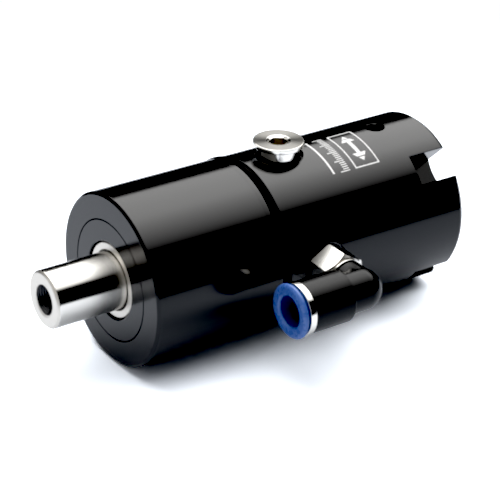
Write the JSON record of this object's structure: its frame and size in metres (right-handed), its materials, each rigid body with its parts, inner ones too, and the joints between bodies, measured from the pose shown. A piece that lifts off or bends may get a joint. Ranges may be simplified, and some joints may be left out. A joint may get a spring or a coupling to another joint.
{
  "type": "rotary pneumatic joint",
  "caption": "Rotary air joint: hollow shaft turning on ball bearings in a round black housing, swivel push-in elbow on one side port, plugged top port, slotted rear end.",
  "frame": {"origin": "on the shaft's axis, in the plane of the slotted rear end that holds the housing", "axes": "+X along the shaft's axis from the nose to the rear end, +Z through the plugged port, the elbow's port on -Y"},
  "size_m": [0.1412, 0.0822, 0.0608],
  "materials": {
    "black_anodised": "satin black anodised, turned",
    "ground_steel": "ground and polished",
    "bearing_steel": "ground",
    "nickel_plate": "bright nickel plate",
    "spring_steel": "oiled",
    "brass_cage": "machined",
    "carbon": "lapped carbon graphite",
    "ceramic": "lapped silicon carbide",
    "black_rubber": "moulded nitrile rubber",
    "black_plastic": "gloss moulded",
    "blue_plastic": "satin moulded"
  },
  "bodies": {
    "housing": {"front_sleeve": "black_anodised", "front_cap": "black_anodised", "front_lip_seal": "black_rubber", "lip_seal_garter_spring": "spring_steel", "front_bearing_outer_race": "bearing_steel", "outer_spacer": "bearing_steel", "rear_bearing_outer_race": "bearing_steel", "joint_band": "black_rubber", "rear_housing": "black_anodised", "spigot_o_ring": "black_rubber", "stator_key": "bearing_steel", "chamber_plug": "black_anodised", "chamber_plug_o_ring": "black_rubber", "chamber_retaining_ring": "spring_steel", "port_plug": "nickel_plate", "port_plug_seal": "black_rubber", "elbow_stem": "nickel_plate", "elbow_stem_seal": "black_rubber", "elbow_stem_o_ring": "black_rubber"},
    "rotor": {"shaft": "ground_steel", "wear_sleeve": "ground_steel", "front_bearing_inner_race": "bearing_steel", "inner_spacer": "bearing_steel", "rear_bearing_inner_race": "bearing_steel", "shaft_retaining_ring": "spring_steel", "rotor_seal_ring": "carbon", "rotor_seal_o_ring": "black_rubber"},
    "front_ball_set": {"front_bearing_cage": "brass_cage", "front_bearing_ball_1": "bearing_steel", "front_bearing_ball_2": "bearing_steel", "front_bearing_ball_3": "bearing_steel", "front_bearing_ball_4": "bearing_steel", "front_bearing_ball_5": "bearing_steel", "front_bearing_ball_6": "bearing_steel", "front_bearing_ball_7": "bearing_steel", "front_bearing_ball_8": "bearing_steel", "front_bearing_ball_9": "bearing_steel"},
    "rear_ball_set": {"rear_bearing_cage": "brass_cage", "rear_bearing_ball_1": "bearing_steel", "rear_bearing_ball_2": "bearing_steel", "rear_bearing_ball_3": "bearing_steel", "rear_bearing_ball_4": "bearing_steel", "rear_bearing_ball_5": "bearing_steel", "rear_bearing_ball_6": "bearing_steel", "rear_bearing_ball_7": "bearing_steel", "rear_bearing_ball_8": "bearing_steel", "rear_bearing_ball_9": "bearing_steel"},
    "stator": {"stator_seal_ring": "ceramic", "stator_o_ring": "black_rubber", "seal_spring": "spring_steel"},
    "elbow": {"elbow_body": "black_plastic", "mouth_ring": "nickel_plate", "grab_ring": "spring_steel", "tube_o_ring": "black_rubber"},
    "release": {"release_ring": "blue_plastic"}
  },
  "joints": [
    {"name": "shaft_spin", "type": "hinge", "parent": "housing", "child": "rotor", "pos_m": [-0.118, 0, 0], "axis": [1, 0, 0], "continuous": true},
    {"name": "front_ball_set_spin", "type": "hinge", "parent": "housing", "child": "front_ball_set", "pos_m": [-0.103, 0, 0], "axis": [1, 0, 0], "continuous": true},
    {"name": "rear_ball_set_spin", "type": "hinge", "parent": "housing", "child": "rear_ball_set", "pos_m": [-0.086, 0, 0], "axis": [1, 0, 0], "continuous": true},
    {"name": "stator_slide", "type": "slide", "parent": "housing", "child": "stator", "axis": [1, 0, 0], "range_m": [0, 0.0005], "stiffness_N_per_m": 400, "springref_m": -0.002, "deforming": ["seal_spring"]},
    {"name": "elbow_swivel", "type": "hinge", "parent": "housing", "child": "elbow", "pos_m": [-0.0558, -0.0383, 0], "axis": [0, -1, 0], "continuous": true},
    {"name": "release_press", "type": "slide", "parent": "elbow", "child": "release", "axis": [1, 0, 0], "range_m": [0, 0.0008], "stiffness_N_per_m": 300, "springref_m": -0.0005}
  ],
  "couplings": [
    {"joint": "front_ball_set_spin", "follows": "shaft_spin", "ratio": 0.3976},
    {"joint": "rear_ball_set_spin", "follows": "shaft_spin", "ratio": 0.3976}
  ]
}
